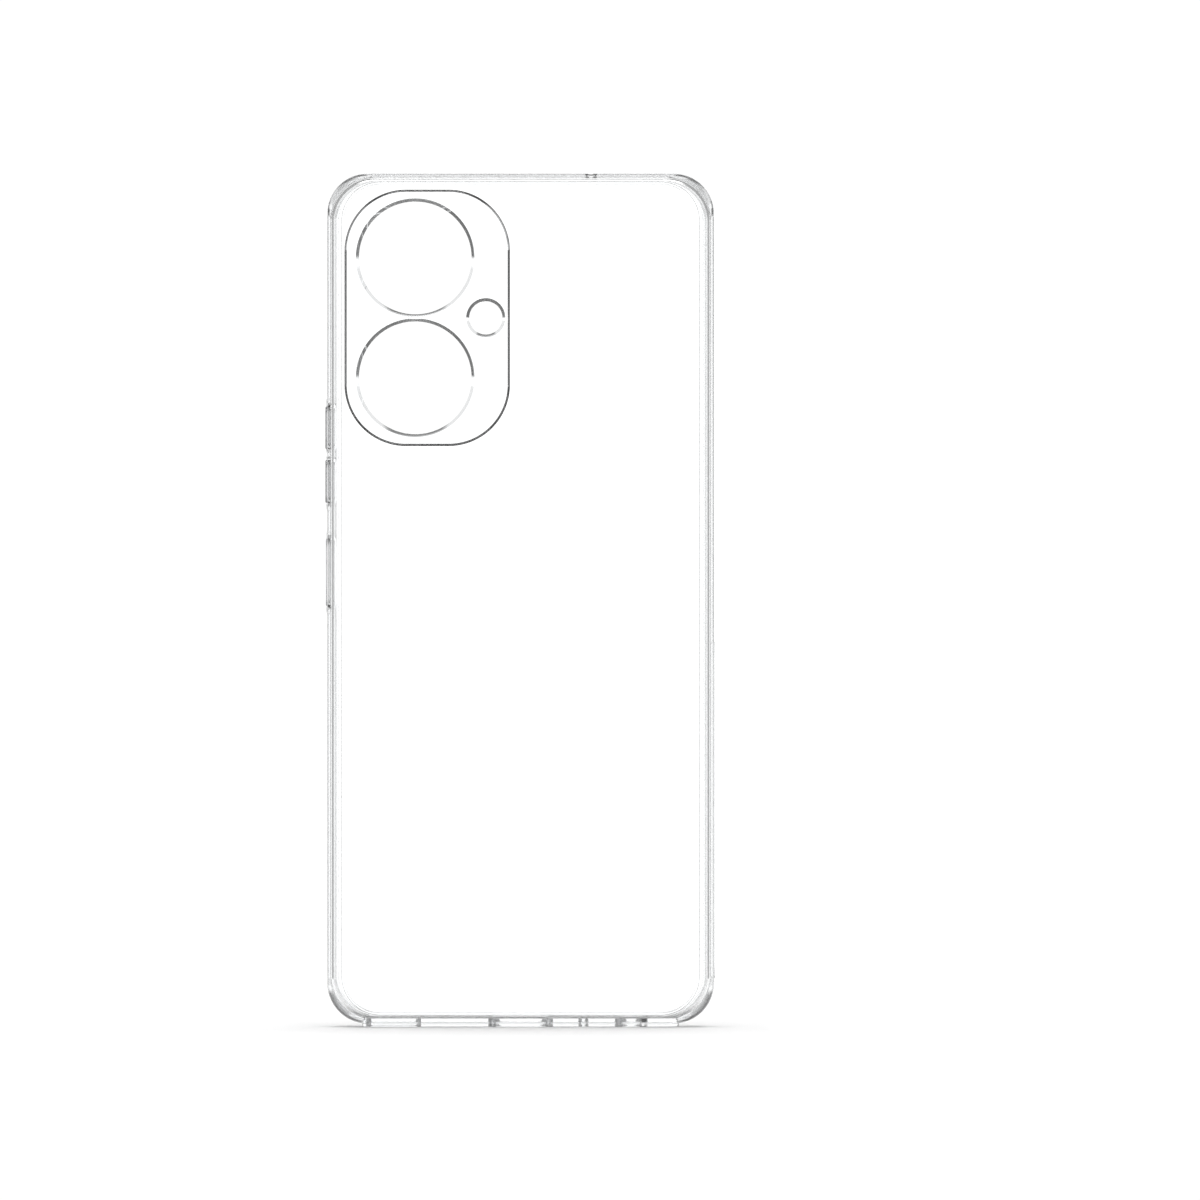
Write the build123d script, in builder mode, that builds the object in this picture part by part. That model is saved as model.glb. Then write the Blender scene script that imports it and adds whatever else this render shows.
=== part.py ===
from build123d import *
import os

# A clear phone case of nine pieces: a hard back plate in a soft bumper frame, a raised camera guard
# bonded on the plate, and three button caps, each held in a window of the frame by a thin web.
#
# Millimetres. The case stands on its short bottom edge, as it does on a table. The origin is the
# middle of the foot's underside. +Z is up the case, +X is to the right as its outer back is looked
# at, and the outer back faces -Y, so the phone goes in from +Y.

# The phone that the case is made for
PHONE_W = 74.6
PHONE_H = 166.8
PHONE_T = 8.6
PHONE_CORNER_R = 8.0

# Bumper frame
WALL = 1.2
CORNER_R = 8.0  # the same inside and outside, which leaves the corners thicker than the walls
LIP_RISE = 1.0  # how far the lip stands above the phone's glass
LIP_REACH = 0.8  # how far the lip reaches in over the glass
LIP_INNER_R = 0.35
BACK_EDGE_R = 3.0
FRONT_EDGE_R = 0.8
FOOT_L = 63.0
FOOT_D = 9.9
FOOT_RISE = 0.6
FOOT_EDGE_R = 0.25
FOOT_CORNER_R = 1.5
FOOT_ROOT = 2.0  # how far the foot's block runs up into the frame
GRIP_L = 67.0
GRIP_W = 4.4
GRIP_Z = 43.0
RIDGE_RISE = 0.15  # the grip strip and the button plinths stand this far out of the wall

# Back plate
PLATE_T = 1.2
PLATE_SIDE_INSET = 3.4
PLATE_END_INSET = 2.3
PLATE_CORNER_R = 7.1
PLATE_EDGE_BEVEL = 0.2
TONGUE = 0.5  # the plate's inner layer reaches this far under the frame
TONGUE_T = 0.6

# Camera guard, its two lens windows and its flash window
GUARD_W = 32.9
GUARD_H = 51.0
GUARD_CORNER_R = 12.2
GUARD_RISE = 1.0
GUARD_EDGE_R = 0.45
GUARD_SIDE_INSET = 3.5
GUARD_END_INSET = 3.3
LENS_R = 11.2
LENS_PITCH = 23.84
LENS_INSET = 17.57  # from the case's side to both lens axes
FLASH_R = 3.3
FLASH_INSET = 31.6
RIM_R = 0.4  # rounding of the windows' outer rims

# Buttons, all in the left wall: name, height of the centre, length, how far it stands out of the wall
BUTTONS = [
    ("volume_up", 119.2, 8.5, 0.45),
    ("volume_down", 108.5, 8.5, 0.45),
    ("power", 90.4, 13.4, 0.35),
]
CAP_W = 2.8
CAP_EDGE_R = 0.2
CAP_FOOT_T = 0.3
CAP_FOOT_INSET = 0.6
WEB_MARGIN = 0.7  # the width of the web around a cap
WEB_T = 0.3
WEB_GAP = 0.05  # between a web and the cap that slides in it
BUTTON_Y = 0.6
PLINTH_MARGIN = 1.6
PLINTH_BEVEL = 0.12
PHONE_BUTTON_GAP = 0.45  # room for the phone's own button between its side and the cap's foot

# Openings in the end walls
PORT_W = 13.0
PORT_D = 6.6
JACK_X = 22.0
JACK_R = 3.3
SPEAKER_X = -25.3
SPEAKER_W = 11.0
SPEAKER_D = 3.0
BOTTOM_MIC_X = 12.5
TOP_MIC_X = 14.0
MIC_R = 1.0

# Worked-out sizes
CASE_W = PHONE_W + 2 * WALL
CASE_H = PHONE_H + 2 * WALL
CASE_T = PLATE_T + PHONE_T + LIP_RISE
BACK_Y = -CASE_T / 2
FRONT_Y = CASE_T / 2
PLATE_FLOOR_Y = BACK_Y + PLATE_T
GLASS_Y = FRONT_Y - LIP_RISE
PHONE_Y = (PLATE_FLOOR_Y + GLASS_Y) / 2
MID_Z = FOOT_RISE + CASE_H / 2
TOP_Z = FOOT_RISE + CASE_H
LEFT_X = -CASE_W / 2
PLATE_W = CASE_W - 2 * PLATE_SIDE_INSET
PLATE_H = CASE_H - 2 * PLATE_END_INSET
GUARD_X = LEFT_X + GUARD_SIDE_INSET + GUARD_W / 2
GUARD_Z = TOP_Z - GUARD_END_INSET - GUARD_H / 2
LENS_X = LEFT_X + LENS_INSET
FLASH_X = LEFT_X + FLASH_INSET
CAP_FOOT_X = LEFT_X + WALL - PHONE_BUTTON_GAP
WEB_X = CAP_FOOT_X - CAP_FOOT_T

os.makedirs("parts", exist_ok=True)


def across(y, z=0.0):
    """The plane across the case at depth y, looking at its outer back, with its middle at height z."""
    return Plane(origin=(0, y, z), x_dir=(1, 0, 0), z_dir=(0, -1, 0))


def rounded_block(width, height, radius, y, thickness, mode=Mode.ADD):
    """A block with rounded corners, centred on the case, from depth y towards the outer back."""
    with BuildSketch(across(y, MID_Z)) as outline:
        RectangleRounded(width, height, radius)
    extrude(outline.sketch, amount=thickness, mode=mode)


def plate_layers(mode=Mode.ADD):
    """The back plate before its holes: the face that shows, and the tongue under the frame's edge."""
    rounded_block(
        PLATE_W + 2 * TONGUE, PLATE_H + 2 * TONGUE, PLATE_CORNER_R + TONGUE, PLATE_FLOOR_Y, TONGUE_T, mode
    )
    rounded_block(PLATE_W, PLATE_H, PLATE_CORNER_R, PLATE_FLOOR_Y - TONGUE_T, PLATE_T - TONGUE_T, mode)


def camera_windows(y, thickness):
    """Cuts both lens windows and the flash window, from depth y towards the outer back."""
    with BuildSketch(across(y, GUARD_Z)) as windows:
        with Locations((LENS_X, LENS_PITCH / 2), (LENS_X, -LENS_PITCH / 2)):
            Circle(LENS_R)
        with Locations((FLASH_X, 0)):
            Circle(FLASH_R)
    extrude(windows.sketch, amount=thickness, mode=Mode.SUBTRACT)


def side_bar(x, z, length, width, thickness, mode=Mode.ADD):
    """A round-ended bar along the case's height, from the plane at x, with its thickness towards +X."""
    with BuildSketch(Plane.YZ.offset(x)) as bar:
        with Locations((BUTTON_Y, z)):
            SlotOverall(length, width, rotation=90)
    extrude(bar.sketch, amount=thickness, mode=mode)


# The space that the phone fills, which is cut out of the frame
with BuildPart() as phone_space:
    rounded_block(PHONE_W, PHONE_H, PHONE_CORNER_R, GLASS_Y, PHONE_T)
    fillet(phone_space.faces().sort_by(Axis.Y)[0].edges(), BACK_EDGE_R - WALL)

# Bumper frame: rim, foot, grip strip and button plinths, then everything that is cut out of them
with BuildPart() as bumper_frame:
    rounded_block(CASE_W, CASE_H, CORNER_R, FRONT_Y, CASE_T)
    fillet(bumper_frame.faces().sort_by(Axis.Y)[0].edges(), BACK_EDGE_R)
    fillet(bumper_frame.faces().sort_by(Axis.Y)[-1].edges(), FRONT_EDGE_R)

    with BuildSketch(Plane.XY):
        RectangleRounded(FOOT_L, FOOT_D, FOOT_CORNER_R)
    extrude(amount=FOOT_RISE + FOOT_ROOT)
    fillet(bumper_frame.faces().sort_by(Axis.Z)[0].edges(), FOOT_EDGE_R)

    with BuildSketch(Plane.YZ.offset(CASE_W / 2)):
        with Locations((BUTTON_Y, GRIP_Z)):
            SlotOverall(GRIP_L, GRIP_W, rotation=90)
    extrude(amount=RIDGE_RISE)
    chamfer(bumper_frame.faces().sort_by(Axis.X)[-1].edges(), PLINTH_BEVEL)

    volume_top = BUTTONS[0][1] + BUTTONS[0][2] / 2 + PLINTH_MARGIN
    volume_bottom = BUTTONS[1][1] - BUTTONS[1][2] / 2 - PLINTH_MARGIN
    plinths = [
        ((volume_top + volume_bottom) / 2, volume_top - volume_bottom),
        (BUTTONS[2][1], BUTTONS[2][2] + 2 * PLINTH_MARGIN),
    ]
    for plinth_z, plinth_length in plinths:
        side_bar(LEFT_X - RIDGE_RISE, plinth_z, plinth_length, CAP_W + 2 * PLINTH_MARGIN, RIDGE_RISE + WALL)
    plinth_faces = bumper_frame.faces().filter_by(Axis.X).sort_by(Axis.X)[0:2]
    chamfer(plinth_faces.edges(), PLINTH_BEVEL)

    add(phone_space.part, mode=Mode.SUBTRACT)
    rounded_block(
        PHONE_W - 2 * LIP_REACH,
        PHONE_H - 2 * LIP_REACH,
        PHONE_CORNER_R - LIP_REACH,
        FRONT_Y,
        LIP_RISE,
        Mode.SUBTRACT,
    )
    lip_top = bumper_frame.faces().sort_by(Axis.Y)[-1]
    fillet(lip_top.inner_wires().edges(), LIP_INNER_R)
    plate_layers(Mode.SUBTRACT)

    for _, z, length, _ in BUTTONS:
        window_length = length + 2 * WEB_MARGIN
        window_width = CAP_W + 2 * WEB_MARGIN
        side_bar(LEFT_X - RIDGE_RISE, z, window_length, window_width, RIDGE_RISE + WALL, Mode.SUBTRACT)

    with BuildSketch(Plane.XY):
        with Locations((0, PHONE_Y)):
            SlotOverall(PORT_W, PORT_D)
        with Locations((SPEAKER_X, PHONE_Y)):
            SlotOverall(SPEAKER_W, SPEAKER_D)
        with Locations((JACK_X, PHONE_Y)):
            Circle(JACK_R)
        with Locations((BOTTOM_MIC_X, PHONE_Y)):
            Circle(MIC_R)
    extrude(amount=FOOT_RISE + WALL, mode=Mode.SUBTRACT)
    with BuildSketch(Plane.XY.offset(TOP_Z - WALL)):
        with Locations((TOP_MIC_X, PHONE_Y)):
            Circle(MIC_R)
    extrude(amount=WALL, mode=Mode.SUBTRACT)

bumper_frame.part.label = "bumper_frame"
export_step(bumper_frame.part, "parts/bumper_frame.step")

# Back plate: two layers, the outer edge bevelled where the seam shows
with BuildPart() as back_plate:
    plate_layers()
    chamfer(back_plate.faces().sort_by(Axis.Y)[0].edges(), PLATE_EDGE_BEVEL)
    camera_windows(PLATE_FLOOR_Y, PLATE_T)

back_plate.part.label = "back_plate"
export_step(back_plate.part, "parts/back_plate.step")

# Camera guard: a plateau on the plate, rounded at its outline and at the rims of its windows
with BuildPart() as camera_guard:
    with BuildSketch(across(BACK_Y, GUARD_Z)):
        with Locations((GUARD_X, 0)):
            RectangleRounded(GUARD_W, GUARD_H, GUARD_CORNER_R)
    extrude(amount=GUARD_RISE)
    fillet(camera_guard.faces().sort_by(Axis.Y)[0].edges(), GUARD_EDGE_R)
    camera_windows(BACK_Y, GUARD_RISE)
    fillet(camera_guard.faces().sort_by(Axis.Y)[0].inner_wires().edges(), RIM_R)

camera_guard.part.label = "camera_guard"
export_step(camera_guard.part, "parts/camera_guard.step")

# Button caps and the webs around them
for name, z, length, proud in BUTTONS:
    with BuildPart() as cap:
        head_x = LEFT_X - proud
        side_bar(head_x, z, length, CAP_W, WEB_X - head_x)
        fillet(cap.faces().sort_by(Axis.X)[0].edges(), CAP_EDGE_R)
        side_bar(WEB_X, z, length - 2 * CAP_FOOT_INSET, CAP_W - 2 * CAP_FOOT_INSET, CAP_FOOT_T)

    cap.part.label = name + "_cap"
    export_step(cap.part, "parts/" + name + "_cap.step")

    with BuildPart() as web:
        side_bar(WEB_X - WEB_T, z, length + 2 * WEB_MARGIN, CAP_W + 2 * WEB_MARGIN, WEB_T)
        side_bar(WEB_X - WEB_T, z, length + 2 * WEB_GAP, CAP_W + 2 * WEB_GAP, WEB_T, Mode.SUBTRACT)

    web.part.label = name + "_web"
    export_step(web.part, "parts/" + name + "_web.step")
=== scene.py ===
import math

import bmesh
import bpy
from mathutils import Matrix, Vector
from mathutils.geometry import tessellate_polygon


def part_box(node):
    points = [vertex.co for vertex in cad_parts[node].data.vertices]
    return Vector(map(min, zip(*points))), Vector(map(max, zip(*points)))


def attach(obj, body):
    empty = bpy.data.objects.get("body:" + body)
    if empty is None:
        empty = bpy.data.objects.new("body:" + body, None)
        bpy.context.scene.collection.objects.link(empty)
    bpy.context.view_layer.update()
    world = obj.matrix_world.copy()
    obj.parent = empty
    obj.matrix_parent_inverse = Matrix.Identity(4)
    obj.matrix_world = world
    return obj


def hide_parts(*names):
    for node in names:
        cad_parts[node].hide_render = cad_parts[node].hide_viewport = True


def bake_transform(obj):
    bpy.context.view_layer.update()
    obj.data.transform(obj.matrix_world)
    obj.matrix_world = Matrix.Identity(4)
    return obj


# A clear phone case: a hard back plate in a soft bumper frame, a raised camera guard and three
# buttons held by thin webs. Lengths here are in millimetres, and MM turns them into metres where a
# mesh, a light or the camera is made. Outer sizes and the places of the pieces come from the packed
# frame. Radii, holes and other details are the design's own.

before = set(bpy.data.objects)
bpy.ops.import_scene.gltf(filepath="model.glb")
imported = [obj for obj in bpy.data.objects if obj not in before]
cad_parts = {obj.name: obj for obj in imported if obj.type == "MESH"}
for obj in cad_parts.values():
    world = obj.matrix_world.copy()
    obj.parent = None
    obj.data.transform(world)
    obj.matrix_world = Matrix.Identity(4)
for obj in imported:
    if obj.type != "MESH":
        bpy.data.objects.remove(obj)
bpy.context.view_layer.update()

MM = 0.001
TURN = 2 * math.pi


def corners(node):
    """The lowest and highest corner of a CAD node, in millimetres."""
    low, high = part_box(node)
    return low / MM, high / MM


FRAME_LOW, FRAME_HIGH = corners("bumper_frame")
PLATE_LOW, PLATE_HIGH = corners("back_plate")
GUARD_LOW, GUARD_HIGH = corners("camera_guard")

# The frame's own walls, without the ridges and the foot that stand out of them
RIDGE_RISE = 0.15
FOOT_RISE = 0.6
SIDE_X = FRAME_HIGH.x - RIDGE_RISE
HALF_H = (FRAME_HIGH.z - FOOT_RISE) / 2
MID_Z = FOOT_RISE + HALF_H
BACK_Y = FRAME_LOW.y
FRONT_Y = FRAME_HIGH.y
CORNER_R = 8.0
WALL = 1.2
LIP_RISE = 1.0
LIP_REACH = 0.8
BAND_DEPTH = 3.0
FRONT_EDGE_R = 0.8
LIP_INNER_R = 0.35
POCKET_EDGE_R = 1.8

# The foot under the frame, and its block's sloping top, which stays inside the frame's wall and band
FOOT_HALF_L = 31.5
FOOT_HALF_D = 4.95
FOOT_CORNER_R = 1.5
FOOT_EDGE_R = 0.25
FOOT_TOP = 1.25
FOOT_SLOPE = 0.2
FOOT_SLOPE_FROM = 2.0

# The low ridges on the side walls: a grip strip, and a plinth around the buttons
GRIP_Z = 43.0
GRIP_HALF_L = 33.5
GRIP_HALF_W = 2.2
PLINTH_MARGIN = 1.6
RIDGE_EDGE_R = 0.06
RIDGE_ROOT = 0.5

# Openings in the end walls: name, x, half width, half depth
BOTTOM_PORTS = [
    ("charging", 0.0, 6.5, 3.3),
    ("speaker", -25.3, 5.5, 1.5),
    ("headphone", 22.0, 3.3, 3.3),
    ("bottom_mic", 12.5, 1.0, 1.0),
]
TOP_PORT = ("top_mic", 14.0, 1.0, 1.0)
PORT_RIM = 0.2
BUTTON_WINDOW_RIM = 0.08

# How far the tools that cut the ports and the button windows reach beyond the wall
PORT_REACH = 0.8
WINDOW_REACH = 1.0

# The seam between the plate and the frame
SEAM_GAP = 0.03
TONGUE = 0.5
TONGUE_T = 0.6
SEAM_CORNER_R = 7.1
SEAM_HALF_W = PLATE_HIGH.x - TONGUE
SEAM_HALF_H = (PLATE_HIGH.z - PLATE_LOW.z) / 2 - TONGUE
SEAM_ROUND = 0.06
TONGUE_SLOT_EXTRA = 0.1
PLATE_EDGE_R = 0.06
PLATE_INNER_RIM = 0.15

# The pocket's floor is the plate's inner face
FLOOR_Y = PLATE_HIGH.y

# Camera guard. A draft is how far a sloping moulded wall leans over its height.
GUARD_CORNER_R = 12.2
GUARD_DRAFT = 0.5
RIM_DRAFT = 0.65
DRAFT_ROUND = 0.16
LENS_R = 11.2
LENS_PITCH = 23.84
LENS_FROM_GUARD = 14.07
FLASH_R = 3.3
FLASH_FROM_GUARD = 28.1
GUARD_Z = (GUARD_LOW.z + GUARD_HIGH.z) / 2
WINDOWS = [
    (GUARD_LOW.x + LENS_FROM_GUARD, GUARD_Z + LENS_PITCH / 2, LENS_R),
    (GUARD_LOW.x + LENS_FROM_GUARD, GUARD_Z - LENS_PITCH / 2, LENS_R),
    (GUARD_LOW.x + FLASH_FROM_GUARD, GUARD_Z, FLASH_R),
]

# Button caps and the dished webs around them: each button's name with its cap's material slot, and each
# slot's head tone, a grey painted shade. A dome point is (how far in, in half widths, and how deep, in
# crowns).
BUTTONS = {"volume_up": "button_grey", "volume_down": "button_grey", "power": "button_pale"}
HEAD_SHADES = {"button_grey": (0.28, 0.28, 0.285), "button_pale": (0.5, 0.5, 0.505)}
CAP_EDGE_R = 0.12
CAP_CROWN = 0.04
CAP_DOME = [(0.8, 0.0), (0.5, 0.3)]
CAP_FOOT_T = 0.3
CAP_FOOT_INSET = 0.6
WEB_GAP = 0.03
WEB_T = 0.22
WEB_RISE = 0.25

# Steps in round stretches
CORNER_STEPS = 28
GUARD_STEPS = 72
CIRCLE_STEPS = 256
PORT_STEPS = 32
BAR_STEPS = 16
FOOT_STEPS = 10
FRONT_EDGE_STEPS = 8
BAND_STEPS = 16
SEAM_STEPS = 3
POCKET_STEPS = 10
LIP_STEPS = 6
FOOT_EDGE_STEPS = 4
RIDGE_EDGE_STEPS = 3
DRAFT_STEPS = 6
PLATE_EDGE_STEPS = 4
CAP_EDGE_STEPS = 6
WEB_SPANS = 5


# ---------------------------------------------------------------- outlines, all as (u, v) points


def rounded(half_u, half_v, radius, steps=CORNER_STEPS, centre=(0.0, 0.0)):
    """A rounded rectangle, anticlockwise from its right side."""
    points = []
    for quarter, (su, sv) in enumerate([(1, 1), (-1, 1), (-1, -1), (1, -1)]):
        for step in range(steps + 1):
            angle = (quarter + step / steps) * TURN / 4
            u = centre[0] + su * (half_u - radius) + radius * math.cos(angle)
            v = centre[1] + sv * (half_v - radius) + radius * math.sin(angle)
            points.append((u, v))
    return points


def circle(radius, centre=(0.0, 0.0), steps=CIRCLE_STEPS):
    """A circle, anticlockwise from its right side."""
    angles = [TURN * step / steps for step in range(steps)]
    return [(centre[0] + radius * math.cos(a), centre[1] + radius * math.sin(a)) for a in angles]


def quarter_arc(steps):
    """(sine, 1 - cosine) at even steps of a quarter turn: how far along and how far in."""
    angles = [TURN / 4 * step / steps for step in range(steps + 1)]
    return [(math.sin(a), 1 - math.cos(a)) for a in angles]


def drafted(width, depth):
    """(how far in, how deep) down a sloping moulded wall: a rounded top edge, then straight down."""
    slope = math.atan2(depth, width)
    centre_in = width + DRAFT_ROUND * math.tan(slope / 2)
    turns = [slope * step / DRAFT_STEPS for step in range(DRAFT_STEPS + 1)]
    arc = [(centre_in - DRAFT_ROUND * math.sin(a), DRAFT_ROUND * (1 - math.cos(a))) for a in turns]
    return arc + [(0.0, depth)]


def across(points, y):
    """An outline in the case's own plane, at depth y."""
    return [(u, y, v) for u, v in points]


def on_side(points, x):
    """An outline (depth, height) on a side wall, at x."""
    return [(x, u, v) for u, v in points]


def level(points, z):
    """An outline (x, depth) on an end wall, at height z."""
    return [(u, v, z) for u, v in points]


# ---------------------------------------------------------------- meshes from rings of points

SAME_POINT = 0.0004
SHARP_ANGLE = 32.0
LARGE_FACE_WEIGHT = 100


def skin(mesh, rings, joined):
    """Faces between rings with the same number of points. joined also joins the last to the first."""
    made = [[mesh.verts.new(Vector(p) * MM) for p in ring] for ring in rings]
    pairs = list(zip(made, made[1:]))
    if joined:
        pairs.append((made[-1], made[0]))
    for near, far in pairs:
        count = len(near)
        for i in range(count):
            j = (i + 1) % count
            mesh.faces.new((near[i], near[j], far[j], far[i]))
    return made


def flat_face(mesh, outlines):
    """A flat face inside the first ring of vertices and outside the others."""
    flat = [v for outline in outlines for v in outline]
    for triangle in tessellate_polygon([[v.co / MM for v in outline] for outline in outlines]):
        mesh.faces.new([flat[i] for i in triangle])


def object_from(mesh, name):
    """A shown object from a bmesh, with points that coincide joined and its faces turned outwards."""
    bmesh.ops.remove_doubles(mesh, verts=mesh.verts, dist=SAME_POINT * MM)
    bmesh.ops.recalc_face_normals(mesh, faces=mesh.faces)
    data = bpy.data.meshes.new(name)
    mesh.to_mesh(data)
    mesh.free()
    thing = bpy.data.objects.new(name, data)
    bpy.context.scene.collection.objects.link(thing)
    return thing


def ring_solid(name, rings):
    """A solid whose section is the closed line through its rings."""
    mesh = bmesh.new()
    skin(mesh, rings, joined=True)
    return object_from(mesh, name)


def capped_solid(name, rings):
    """A solid skinned over its rings, with a flat face at each end."""
    mesh = bmesh.new()
    made = skin(mesh, rings, joined=False)
    mesh.faces.new(made[0])
    mesh.faces.new(made[-1])
    return object_from(mesh, name)


def pierced_solid(name, outer_rings, holes):
    """A slab with holes right through it. Its edge and each hole are rings from face to face."""
    mesh = bmesh.new()
    made = [skin(mesh, rings, joined=False) for rings in [outer_rings] + holes]
    flat_face(mesh, [rings[0] for rings in made])
    flat_face(mesh, [rings[-1] for rings in made])
    return object_from(mesh, name)


def combine(target, tool, operation):
    """Adds a solid to the target, or cuts it out, and removes it."""
    change = target.modifiers.new("change", "BOOLEAN")
    change.operation = operation
    change.solver = "EXACT"
    change.object = tool
    settled = target.evaluated_get(bpy.context.evaluated_depsgraph_get())
    data = bpy.data.meshes.new_from_object(settled)
    target.modifiers.clear()
    old = target.data
    target.data = data
    bpy.data.meshes.remove(old)
    bpy.data.objects.remove(tool)


def smooth(thing):
    """Smooth shading with sharp edges at steep turns, and normals that keep flat faces flat."""
    thing.data.polygons.foreach_set("use_smooth", [True] * len(thing.data.polygons))
    thing.data.set_sharp_from_angle(angle=math.radians(SHARP_ANGLE))
    normals = thing.modifiers.new("normals", "WEIGHTED_NORMAL")
    normals.keep_sharp = True
    normals.weight = LARGE_FACE_WEIGHT


def place(thing, body, node, material):
    """Gives a piece its material, lets it stand for a CAD node and makes it ride on a body."""
    thing.data.materials.clear()
    thing.data.materials.append(material)
    smooth(thing)
    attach(thing, body)
    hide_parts(node)


# ---------------------------------------------------------------- materials


PLASTIC_IOR = 1.49

# The swirl in a plastic's tint: features to a metre, and the tint's share where it is darkest
SWIRL_SCALE = 14.0
SWIRL_DETAIL = 3.0
SWIRL_DARK = 0.985
WAVE_DETAIL = 2.0

# What a thick stretch of the soft plastic tends to
THICK_COLOUR = (0.5, 0.52, 0.54)

# A cap's painted head shade is full down to the first depth inside the wall and gone at the second
SHADE_FULL = 0.15
SHADE_GONE = 0.35

# A Mix node's colour sockets, which share their names with its other sockets
MIX_SHARE = 0
MIX_FIRST = 6
MIX_SECOND = 7
MIX_RESULT = 2


def toned_ramp(nodes, low, high, start=0.0, end=1.0):
    """A ramp from the colour low at start to the colour high at end."""
    ramp = nodes.new("ShaderNodeValToRGB")
    for element, place_at, colour in zip(ramp.color_ramp.elements, (start, end), (low, high)):
        element.position = place_at
        element.color = (*colour, 1.0)
    return ramp


def noise(nodes, scale, detail):
    """A noise texture with about so many features to a metre."""
    node = nodes.new("ShaderNodeTexNoise")
    node.inputs["Scale"].default_value = scale
    node.inputs["Detail"].default_value = detail
    return node


def clear_plastic(
    name, tint, edge_shade, roughness, wave_size, wave_depth, steep_from=0.45, steep_to=0.7,
    absorption=0.0, head_shade=None,
):
    """A clear moulded plastic with the swirl and waves of moulding. Steep faces, where the view meets
    them slanting, turn to the edge tone, a painted shade that draws them dark.

    absorption darkens it with depth. The head tone paints grey shade on the part of a cap that stands
    out of the wall.
    """
    material = bpy.data.materials.new(name)
    material.use_nodes = True
    nodes, links = material.node_tree.nodes, material.node_tree.links
    shader = nodes["Principled BSDF"]
    shader.inputs["Roughness"].default_value = roughness
    shader.inputs["IOR"].default_value = PLASTIC_IOR
    shader.inputs["Transmission Weight"].default_value = 1.0
    place_on = nodes.new("ShaderNodeTexCoord").outputs["Object"]
    swirl = noise(nodes, SWIRL_SCALE, SWIRL_DETAIL)
    tones = toned_ramp(nodes, [t * SWIRL_DARK for t in tint], tint)
    # Painted shade: Layer Weight's Facing darkens the base colour toward the edge tone where a face
    # slants away from the view.
    slant = nodes.new("ShaderNodeLayerWeight")
    steep_shade = toned_ramp(nodes, (1.0, 1.0, 1.0), (edge_shade, edge_shade, edge_shade), steep_from, steep_to)
    both = nodes.new("ShaderNodeMix")
    both.data_type = "RGBA"
    both.blend_type = "MULTIPLY"
    both.inputs[MIX_SHARE].default_value = 1.0
    links.new(place_on, swirl.inputs["Vector"])
    links.new(swirl.outputs["Fac"], tones.inputs["Fac"])
    links.new(slant.outputs["Facing"], steep_shade.inputs["Fac"])
    links.new(tones.outputs["Color"], both.inputs[MIX_FIRST])
    links.new(steep_shade.outputs["Color"], both.inputs[MIX_SECOND])
    colour = both.outputs[MIX_RESULT]
    # Painted shade: a cap's head, where it stands out of the wall, is turned grey.
    if head_shade:
        colour = shaded_head(nodes, links, place_on, colour, head_shade)
    links.new(colour, shader.inputs["Base Color"])
    waves = noise(nodes, 1.0 / (wave_size * MM), WAVE_DETAIL)
    bump = nodes.new("ShaderNodeBump")
    bump.inputs["Strength"].default_value = 1.0
    bump.inputs["Distance"].default_value = wave_depth * MM
    links.new(place_on, waves.inputs["Vector"])
    links.new(waves.outputs["Fac"], bump.inputs["Height"])
    links.new(bump.outputs["Normal"], shader.inputs["Normal"])
    if absorption:
        taken = nodes.new("ShaderNodeVolumeAbsorption")
        taken.inputs["Color"].default_value = (*THICK_COLOUR, 1.0)
        taken.inputs["Density"].default_value = absorption
        links.new(taken.outputs["Volume"], nodes["Material Output"].inputs["Volume"])
    return material


def shaded_head(nodes, links, place_on, colour, head_shade):
    """The colour, turned to the head's grey painted shade where a cap in the left wall is near or
    outside its face.
    """
    parts = nodes.new("ShaderNodeSeparateXYZ")
    head = nodes.new("ShaderNodeMapRange")
    head.inputs["From Min"].default_value = (SHADE_GONE - SIDE_X) * MM
    head.inputs["From Max"].default_value = (SHADE_FULL - SIDE_X) * MM
    shaded = nodes.new("ShaderNodeMix")
    shaded.data_type = "RGBA"
    shaded.inputs[MIX_SECOND].default_value = (*head_shade, 1.0)
    links.new(place_on, parts.inputs["Vector"])
    links.new(parts.outputs["X"], head.inputs["Value"])
    links.new(head.outputs["Result"], shaded.inputs[MIX_SHARE])
    links.new(colour, shaded.inputs[MIX_FIRST])
    return shaded.outputs[MIX_RESULT]


def hard_clear():
    """The back plate's hard, glossy plastic."""
    tint = (0.992, 0.996, 0.998)
    return clear_plastic("hard_clear", tint, edge_shade=0.45, roughness=0.0, wave_size=18.0, wave_depth=0.002)


def guard_clear():
    """The camera guard's plastic, with dark painted shade on its steep walls."""
    tint = (0.99, 0.994, 0.997)
    return clear_plastic(
        "guard_clear", tint, edge_shade=0.08, roughness=0.0, wave_size=14.0, wave_depth=0.002,
        steep_from=0.47, steep_to=0.54,
    )


def soft_clear():
    """The frame's soft plastic, which is a little grey where it is thick."""
    tint = (0.985, 0.99, 0.992)
    return clear_plastic(
        "soft_clear", tint, edge_shade=0.5, roughness=0.1, wave_size=12.0, wave_depth=0.001,
        steep_from=0.5, steep_to=0.8, absorption=20.0,
    )


def soft_web():
    """The webs' thin soft plastic."""
    tint = (0.975, 0.98, 0.982)
    return clear_plastic("soft_web", tint, edge_shade=0.9, roughness=0.1, wave_size=4.0, wave_depth=0.001)


def button_plastic(name, head_shade):
    """A cap's plastic, clear but for the grey painted shade on its head."""
    tint = (0.97, 0.975, 0.98)
    return clear_plastic(
        name, tint, edge_shade=0.8, roughness=0.1, wave_size=3.0, wave_depth=0.001, head_shade=head_shade
    )


# ---------------------------------------------------------------- bumper frame


def case_ring(side_inset, end_inset, radius, y):
    """A ring round the case at depth y, as far inside its outer walls as the insets say."""
    return across(
        rounded(SIDE_X - side_inset, HALF_H - end_inset, radius, centre=(0.0, MID_Z)), y
    )


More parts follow.
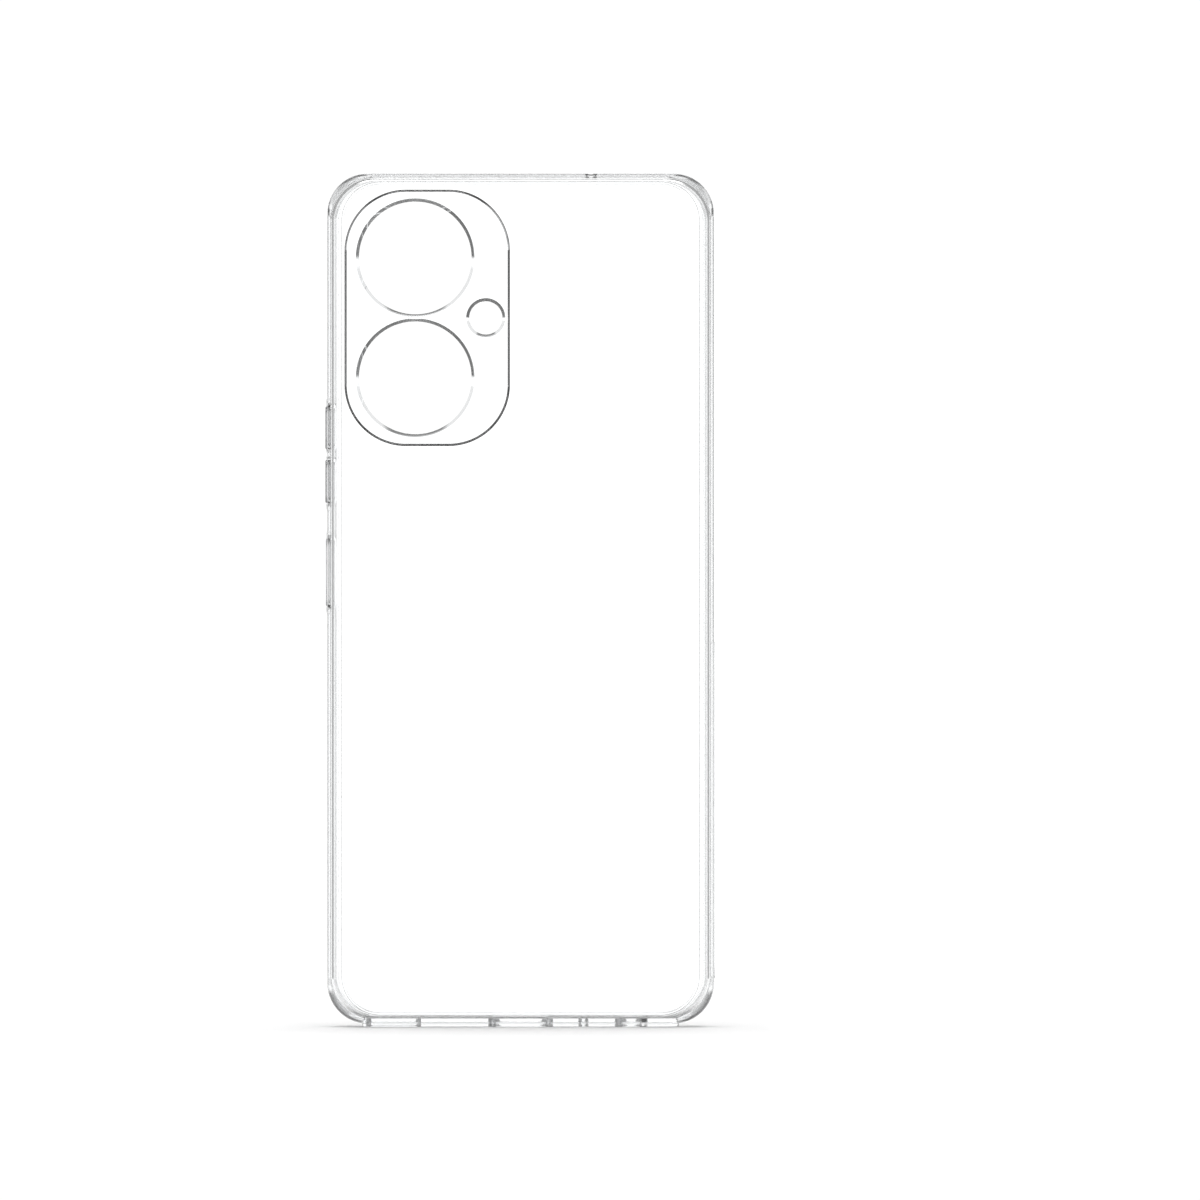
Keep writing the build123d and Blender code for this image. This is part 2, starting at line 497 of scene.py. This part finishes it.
def frame_section():
    """The frame's section as rings: front edge, wall, curved band, seam, pocket and lip."""
    seam_side = SIDE_X - SEAM_HALF_W
    seam_end = HALF_H - SEAM_HALF_H
    rings = []
    for along, inward in quarter_arc(FRONT_EDGE_STEPS):
        inset = FRONT_EDGE_R * (1 - along)
        rings.append(case_ring(inset, inset, CORNER_R - inset, FRONT_Y - FRONT_EDGE_R * inward))
    band_top = BACK_Y + BAND_DEPTH
    for along, inward in quarter_arc(BAND_STEPS):
        rings.append(
            case_ring(
                (seam_side - SEAM_ROUND) * inward,
                (seam_end - SEAM_ROUND) * inward,
                CORNER_R + (SEAM_CORNER_R + SEAM_ROUND - CORNER_R) * inward,
                band_top - BAND_DEPTH * along,
            )
        )
    for along, inward in quarter_arc(SEAM_STEPS)[1:]:
        rings.append(
            case_ring(
                seam_side - SEAM_ROUND * (1 - along),
                seam_end - SEAM_ROUND * (1 - along),
                SEAM_CORNER_R + SEAM_ROUND * (1 - along),
                BACK_Y + SEAM_ROUND * inward,
            )
        )
    rings.append(case_ring(seam_side, seam_end, SEAM_CORNER_R, FLOOR_Y - TONGUE_T))
    tongue_side, tongue_end = seam_side - TONGUE, seam_end - TONGUE
    rings.append(case_ring(tongue_side, tongue_end, SEAM_CORNER_R + TONGUE, FLOOR_Y - TONGUE_T))
    rings.append(case_ring(tongue_side, tongue_end, SEAM_CORNER_R + TONGUE, FLOOR_Y))
    floor_side, floor_end = tongue_side + TONGUE_SLOT_EXTRA, tongue_end + TONGUE_SLOT_EXTRA
    for along, inward in reversed(quarter_arc(POCKET_STEPS)):
        rings.append(
            case_ring(
                WALL + (floor_side - WALL) * inward,
                WALL + (floor_end - WALL) * inward,
                CORNER_R + (SEAM_CORNER_R + TONGUE - TONGUE_SLOT_EXTRA - CORNER_R) * inward,
                FLOOR_Y + POCKET_EDGE_R * (1 - along),
            )
        )
    lip_y = FRONT_Y - LIP_RISE
    rings.append(case_ring(WALL, WALL, CORNER_R, lip_y))
    lip = WALL + LIP_REACH
    rings.append(case_ring(lip, lip, CORNER_R - LIP_REACH, lip_y))
    for along, inward in quarter_arc(LIP_STEPS):
        inset = lip - LIP_INNER_R * inward
        rings.append(
            case_ring(
                inset, inset, CORNER_R - LIP_REACH + LIP_INNER_R * inward,
                FRONT_Y - LIP_INNER_R * (1 - along),
            )
        )
    return rings


def foot():
    """The foot's block. Its top lies inside the frame's bottom wall and band."""
    rings = []
    for along, inward in quarter_arc(FOOT_EDGE_STEPS):
        inset = FOOT_EDGE_R * (1 - along)
        outline = rounded(FOOT_HALF_L - inset, FOOT_HALF_D - inset, FOOT_CORNER_R - inset, FOOT_STEPS)
        rings.append(level(outline, FOOT_EDGE_R * inward))
    outline = rounded(FOOT_HALF_L, FOOT_HALF_D, FOOT_CORNER_R, FOOT_STEPS)
    rings.append([(u, v, FOOT_TOP + FOOT_SLOPE * max(0.0, -v - FOOT_SLOPE_FROM)) for u, v in outline])
    return capped_solid("foot", rings)


def ridge(name, side, centre, half_l, half_w):
    """A low round-ended ridge on a side wall, rooted inside it. side is -1 for left and 1 for right."""
    top = SIDE_X + RIDGE_RISE
    base = rounded(half_w, half_l, half_w, BAR_STEPS, centre)
    rings = [on_side(base, side * (SIDE_X - RIDGE_ROOT))]
    for along, inward in quarter_arc(RIDGE_EDGE_STEPS):
        inset = RIDGE_EDGE_R * inward
        outline = rounded(half_w - inset, half_l - inset, half_w - inset, BAR_STEPS, centre)
        rings.append(on_side(outline, side * (top - RIDGE_EDGE_R * (1 - along))))
    return capped_solid(name, rings)


def flared_tool(name, outline_at, low, high, rim, reach):
    """A solid that cuts a hole through a wall from low to high, with both rims bevelled.

    outline_at(grown, where) is the hole's outline, grown by so much, at a place across the wall.
    """
    places = [(rim + reach, low - reach), (0.0, low + rim), (0.0, high - rim)]
    places.append((rim + reach, high + reach))
    return capped_solid(name, [outline_at(grown, where) for grown, where in places])


def window_tool(name, centre, half_l, half_w):
    """A solid that cuts a button's window through the left wall."""

    def outline_at(grown, x):
        shape = rounded(half_w + grown, half_l + grown, half_w + grown, BAR_STEPS, centre)
        return on_side(shape, x)

    outer, inner = -SIDE_X - RIDGE_RISE, -SIDE_X + WALL
    return flared_tool(name, outline_at, outer, inner, BUTTON_WINDOW_RIM, WINDOW_REACH)


def port_tool(name, x, half_w, half_d, low, high):
    """A solid that cuts a port through an end wall, in the middle of the phone's thickness."""
    centre = (x, (FLOOR_Y + FRONT_Y - LIP_RISE) / 2)

    def outline_at(grown, z):
        return level(rounded(half_w + grown, half_d + grown, half_d + grown, PORT_STEPS, centre), z)

    return flared_tool(name, outline_at, low, high, PORT_RIM, PORT_REACH)


def bar_of(node):
    """A button node's centre (depth, height), half length, half width, and its two x places."""
    low, high = corners(node)
    centre = ((low.y + high.y) / 2, (low.z + high.z) / 2)
    return centre, (high.z - low.z) / 2, (high.y - low.y) / 2, low.x, high.x


def bumper_frame():
    """The soft frame: its swept section, foot and ridges, then the button windows and ports."""
    body = ring_solid("bumper_frame_soft", frame_section())
    combine(body, foot(), "UNION")
    (button_y, up_z), up_l, cap_w, _, _ = bar_of("volume_up_cap")
    (_, down_z), down_l, _, _, _ = bar_of("volume_down_cap")
    top, bottom = up_z + up_l + PLINTH_MARGIN, down_z - down_l - PLINTH_MARGIN
    plinth_w = cap_w + PLINTH_MARGIN
    volume_centre = (button_y, (top + bottom) / 2)
    combine(body, ridge("volume_plinth", -1, volume_centre, (top - bottom) / 2, plinth_w), "UNION")
    power_centre, power_l, _, _, _ = bar_of("power_cap")
    combine(body, ridge("power_plinth", -1, power_centre, power_l + PLINTH_MARGIN, plinth_w), "UNION")
    combine(body, ridge("grip", 1, (button_y, GRIP_Z), GRIP_HALF_L, GRIP_HALF_W), "UNION")
    for name in BUTTONS:
        centre, half_l, half_w, _, _ = bar_of(name + "_web")
        combine(body, window_tool(name, centre, half_l, half_w), "DIFFERENCE")
    for port in BOTTOM_PORTS:
        combine(body, port_tool(*port, 0.0, FOOT_RISE + WALL), "DIFFERENCE")
    combine(body, port_tool(*TOP_PORT, FRAME_HIGH.z - WALL, FRAME_HIGH.z), "DIFFERENCE")
    place(body, "case", "bumper_frame", soft_clear())


# ---------------------------------------------------------------- plate and guard


def back_plate():
    """The hard plate: a bevelled face in the seam, and a tongue under the frame's edge."""
    half_w, half_h, radius = SEAM_HALF_W - SEAM_GAP, SEAM_HALF_H - SEAM_GAP, SEAM_CORNER_R - SEAM_GAP

    def plate_ring(grown, y):
        return across(rounded(half_w + grown, half_h + grown, radius + grown, centre=(0.0, MID_Z)), y)

    outer = [
        plate_ring(-PLATE_EDGE_R * (1 - along), BACK_Y + PLATE_EDGE_R * inward)
        for along, inward in quarter_arc(PLATE_EDGE_STEPS)
    ]
    outer.append(plate_ring(0.0, FLOOR_Y - TONGUE_T + SEAM_GAP))
    outer.append(plate_ring(TONGUE, FLOOR_Y - TONGUE_T + SEAM_GAP))
    outer.append(plate_ring(TONGUE, FLOOR_Y))
    holes = []
    for x, z, r in WINDOWS:
        wall = circle(r, (x, z))
        rings = [across(wall, BACK_Y), across(wall, FLOOR_Y - PLATE_INNER_RIM)]
        rings.append(across(circle(r + PLATE_INNER_RIM, (x, z)), FLOOR_Y))
        holes.append(rings)
    plate = pierced_solid("back_plate_clear", outer, holes)
    place(plate, "case", "back_plate", hard_clear())


def camera_guard():
    """The raised guard, with sloping walls outside and round its three windows."""
    centre = ((GUARD_LOW.x + GUARD_HIGH.x) / 2, GUARD_Z)
    half_w, half_h = (GUARD_HIGH.x - GUARD_LOW.x) / 2, (GUARD_HIGH.z - GUARD_LOW.z) / 2
    foot_y = BACK_Y - SEAM_GAP
    outer = []
    for inset, depth in drafted(GUARD_DRAFT, foot_y - GUARD_LOW.y):
        shape = rounded(half_w - inset, half_h - inset, GUARD_CORNER_R - inset, GUARD_STEPS, centre)
        outer.append(across(shape, GUARD_LOW.y + depth))
    holes = []
    for x, z, r in WINDOWS:
        rings = []
        for inset, depth in drafted(RIM_DRAFT, foot_y - GUARD_LOW.y):
            rings.append(across(circle(r + inset, (x, z)), GUARD_LOW.y + depth))
        holes.append(rings)
    guard = pierced_solid("camera_guard_clear", outer, holes)
    place(guard, "case", "camera_guard", guard_clear())


# ---------------------------------------------------------------- buttons


def button_cap(name, material):
    """A button's cap: a slightly domed head, and a narrower foot behind the web."""
    centre, half_l, half_w, head_x, foot_x = bar_of(name + "_cap")

    def cap_ring(inset, x):
        return on_side(rounded(half_w - inset, half_l - inset, half_w - inset, BAR_STEPS, centre), x)

    shoulder_x = foot_x - CAP_FOOT_T
    rings = [cap_ring(half_w * inset, head_x + CAP_CROWN * depth) for inset, depth in CAP_DOME]
    for along, inward in quarter_arc(CAP_EDGE_STEPS):
        rings.append(cap_ring(CAP_EDGE_R * (1 - along), head_x + CAP_CROWN + CAP_EDGE_R * inward))
    rings.append(cap_ring(0.0, shoulder_x))
    rings.append(cap_ring(CAP_FOOT_INSET, shoulder_x))
    rings.append(cap_ring(CAP_FOOT_INSET, foot_x))
    cap = capped_solid(name + "_cap_moulded", rings)
    place(cap, name + "_button", name + "_cap", material)


def button_web(name, material):
    """The thin dished web around a cap. It stays still here, and nothing bends it as the cap goes in."""
    _, cap_l, cap_w, _, _ = bar_of(name + "_cap")
    centre, _, web_w, _, inner_x = bar_of(name + "_web")
    outer_x = inner_x - WEB_T

    def web_ring(share, x):
        grown = WEB_GAP + (web_w - WEB_GAP - cap_w - WEB_GAP) * share
        dished = x - WEB_RISE * (1 - share) ** 2
        return on_side(rounded(cap_w + grown, cap_l + grown, cap_w + grown, BAR_STEPS, centre), dished)

    shares = [step / WEB_SPANS for step in range(WEB_SPANS + 1)]
    rings = [web_ring(share, outer_x) for share in shares]
    rings += [web_ring(share, inner_x) for share in reversed(shares)]
    web = ring_solid(name + "_web_soft", rings)
    web.data.materials.append(material)
    smooth(web)
    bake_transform(web)
    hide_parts(name + "_web")


# ---------------------------------------------------------------- floor, light and camera

GROUND_R = 150.0
GROUND_SEGMENTS = 128
GROUND_DROP = 0.1
GROUND_GRAIN = 40.0
GROUND_ROUGHNESS = 0.8
GROUND_SPECULAR = 0.1
GROUND_DARK = (0.93, 0.93, 0.93)
GROUND_PALE = (0.95, 0.95, 0.95)

LIGHT_HEIGHT = 1600.0
LIGHT_SIZE = 1600.0
LIGHT_POWER = 16.0

# The camera's view: a square of this side, square on to the outer back, and the middle of it
LENS = 400.0
VIEW_SIDE = 239.1
VIEW_X = 15.8
VIEW_Z = 84.9

# Light goes through many walls of the clear pieces
BOUNCES = 24
GLOSSY_BOUNCES = 12

# The world's light. Each ramp is (place, tone) stops over one measure of a direction. The measures
# are its height, which is 0 straight down, 0.5 level and 1 straight up, the size of its Y part, the
# larger size of its X and Y parts, and those two sizes multiplied, which is 0.5 on a level diagonal.
SEEN_WHITE = 1.05
GATHERED_WHITE = 1.25
LEVEL_TONE = 0.34
RING_TONE = 0.12
BELOW_TONE = 0.865
GAP_TONE = 0.42
FAINT_TONE = 0.7
AHEAD_OR_BESIDE = [(0.96, 0.0), (0.985, 1.0)]
ABOVE_BY_HEIGHT = [(0.43, 0.0), (0.44, LEVEL_TONE), (0.875, LEVEL_TONE), (0.95, 1.0)]
BELOW_BY_HEIGHT = [(0.43, 1.0), (0.44, 0.0)]
BELOW_BY_DIAGONAL = [(0.15, BELOW_TONE), (0.2, GAP_TONE), (0.37, GAP_TONE), (0.4, BELOW_TONE)]
WIDE_CONE = [(0.74, 0.0), (0.79, 1.0)]
DARK_RING = [(0.7, 1.0), (0.72, RING_TONE), (0.84, RING_TONE), (0.86, 1.0)]
RING_BREAKS = [
    (0.25, 0.0), (0.28, FAINT_TONE), (0.46, FAINT_TONE), (0.48, 1.0), (0.505, 1.0), (0.525, 0.0),
]


def floor():
    """A pale matt disc just under the foot."""
    mesh = bmesh.new()
    bmesh.ops.create_circle(mesh, cap_ends=True, segments=GROUND_SEGMENTS, radius=GROUND_R * MM)
    ground = object_from(mesh, "floor")
    ground.location.z = -GROUND_DROP * MM
    material = bpy.data.materials.new("floor_paint")
    material.use_nodes = True
    nodes, links = material.node_tree.nodes, material.node_tree.links
    shader = nodes["Principled BSDF"]
    shader.inputs["Roughness"].default_value = GROUND_ROUGHNESS
    shader.inputs["Specular IOR Level"].default_value = GROUND_SPECULAR
    grain = nodes.new("ShaderNodeTexNoise")
    grain.inputs["Scale"].default_value = GROUND_GRAIN
    tones = toned_ramp(nodes, GROUND_DARK, GROUND_PALE)
    links.new(grain.outputs["Fac"], tones.inputs["Fac"])
    links.new(tones.outputs["Color"], shader.inputs["Base Color"])
    ground.data.materials.append(material)


def studio_world():
    """Plain white as the camera sees it, and a studio of white and grey stretches to the plastic.

    The stretches lie in fixed directions, and the grey ones draw the edges of the clear pieces. From a
    little below the horizon it is grey up to a white top, and lower down it is pale with grey gaps
    between the axes and the diagonals. White are the directions near the level axes and a wide cone to
    the front and to the back. A dark ring at each cone's edge, broken where it is level and faint at
    its lower sides, draws the sloping walls of the guard.
    """
    world = bpy.data.worlds.new("studio")
    bpy.context.scene.world = world
    world.use_nodes = True
    nodes, links = world.node_tree.nodes, world.node_tree.links
    nodes.clear()

    def maths(operation, *operands):
        node = nodes.new("ShaderNodeMath")
        node.operation = operation
        for socket, value in zip(node.inputs, operands):
            if isinstance(value, float):
                socket.default_value = value
            else:
                links.new(value, socket)
        return node.outputs["Value"]

    def ramp(value, stops):
        node = nodes.new("ShaderNodeValToRGB")
        while len(node.color_ramp.elements) < len(stops):
            node.color_ramp.elements.new(0.5)
        for element, (place_at, tone) in zip(node.color_ramp.elements, stops):
            element.position = place_at
            element.color = (tone, tone, tone, 1.0)
        links.new(value, node.inputs["Fac"])
        return node.outputs["Color"]

    def background(strength):
        node = nodes.new("ShaderNodeBackground")
        node.inputs["Color"].default_value = (1.0, 1.0, 1.0, 1.0)
        if isinstance(strength, float):
            node.inputs["Strength"].default_value = strength
        else:
            links.new(strength, node.inputs["Strength"])
        return node.outputs["Background"]

    direction = nodes.new("ShaderNodeTexCoord")
    parts = nodes.new("ShaderNodeSeparateXYZ")
    links.new(direction.outputs["Generated"], parts.inputs["Vector"])
    across_x = maths("ABSOLUTE", parts.outputs["X"])
    across_y = maths("ABSOLUTE", parts.outputs["Y"])
    height = maths("MULTIPLY_ADD", parts.outputs["Z"], 0.5, 0.5)
    diagonal = maths("MULTIPLY", across_x, across_y)
    ahead = ramp(maths("MAXIMUM", across_x, across_y), AHEAD_OR_BESIDE)
    below = maths("MULTIPLY", ramp(diagonal, BELOW_BY_DIAGONAL), ramp(height, BELOW_BY_HEIGHT))
    above_or_below = maths("MAXIMUM", ramp(height, ABOVE_BY_HEIGHT), below)
    plain = maths("MAXIMUM", above_or_below, ramp(across_y, WIDE_CONE))
    ring = maths("MAXIMUM", ramp(across_y, DARK_RING), ramp(height, RING_BREAKS))
    tone = maths("MAXIMUM", ahead, maths("MULTIPLY", plain, ring))
    gathered = background(maths("MULTIPLY", tone, GATHERED_WHITE))
    path = nodes.new("ShaderNodeLightPath")
    mix = nodes.new("ShaderNodeMixShader")
    out = nodes.new("ShaderNodeOutputWorld")
    links.new(path.outputs["Is Camera Ray"], mix.inputs["Fac"])
    links.new(gathered, mix.inputs[1])
    links.new(background(SEEN_WHITE), mix.inputs[2])
    links.new(mix.outputs["Shader"], out.inputs["Surface"])


def overhead_light():
    """A large soft light above the case. The plastic doesn't mirror it."""
    light = bpy.data.lights.new("top", "AREA")
    light.shape = "RECTANGLE"
    light.size = LIGHT_SIZE * MM
    light.size_y = LIGHT_SIZE * MM
    light.energy = LIGHT_POWER
    lamp = bpy.data.objects.new("top", light)
    lamp.location = (0.0, 0.0, LIGHT_HEIGHT * MM)
    lamp.visible_glossy = False
    bpy.context.scene.collection.objects.link(lamp)


def camera():
    """Square on to the outer back, from far off. The case stands left of the middle of the view."""
    data = bpy.data.cameras.new("camera")
    data.lens = LENS
    eye = bpy.data.objects.new("camera", data)
    distance = VIEW_SIDE * LENS / data.sensor_width
    eye.location = (VIEW_X * MM, -distance * MM, VIEW_Z * MM)
    eye.rotation_euler = (math.radians(90.0), 0.0, 0.0)
    bpy.context.scene.collection.objects.link(eye)
    bpy.context.scene.camera = eye


bumper_frame()
back_plate()
camera_guard()
cap_plastics = {slot: button_plastic(slot, tint) for slot, tint in HEAD_SHADES.items()}
web_plastic = soft_web()
for button, slot in BUTTONS.items():
    button_cap(button, cap_plastics[slot])
    button_web(button, web_plastic)
floor()
studio_world()
overhead_light()
camera()

scene = bpy.context.scene
scene.view_settings.view_transform = "Standard"
scene.cycles.max_bounces = BOUNCES
scene.cycles.transmission_bounces = BOUNCES
scene.cycles.glossy_bounces = GLOSSY_BOUNCES
